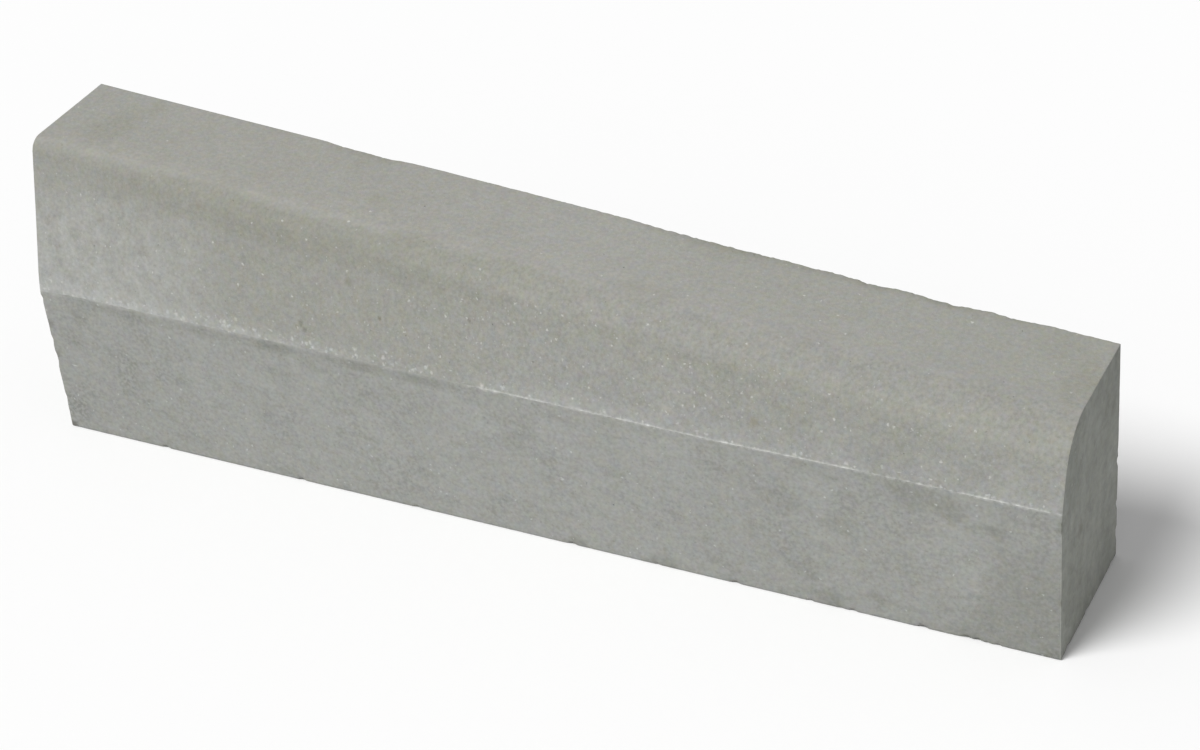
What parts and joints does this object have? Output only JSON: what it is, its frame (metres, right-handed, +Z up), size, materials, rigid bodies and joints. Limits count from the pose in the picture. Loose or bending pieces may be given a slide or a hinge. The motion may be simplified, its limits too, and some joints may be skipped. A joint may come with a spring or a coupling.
{
  "type": "concrete transition kerb",
  "caption": "Grey precast concrete kerb stone with a battered, rounded front that falls from a full-height end to a lower, rounder one.",
  "frame": {"origin": "under the middle of the kerb, on the level of its underside", "axes": "+X along the kerb from the tall end to the low end, -Y towards the road (the battered, rounded side), +Y towards the footway, +Z up"},
  "size_m": [1, 0.15, 0.3],
  "materials": {
    "concrete": "grey pressed fair-faced concrete, fine sandy grain, dry and matt"
  },
  "bodies": {
    "root": {"kerb_stone": "concrete"}
  },
  "joints": []
}
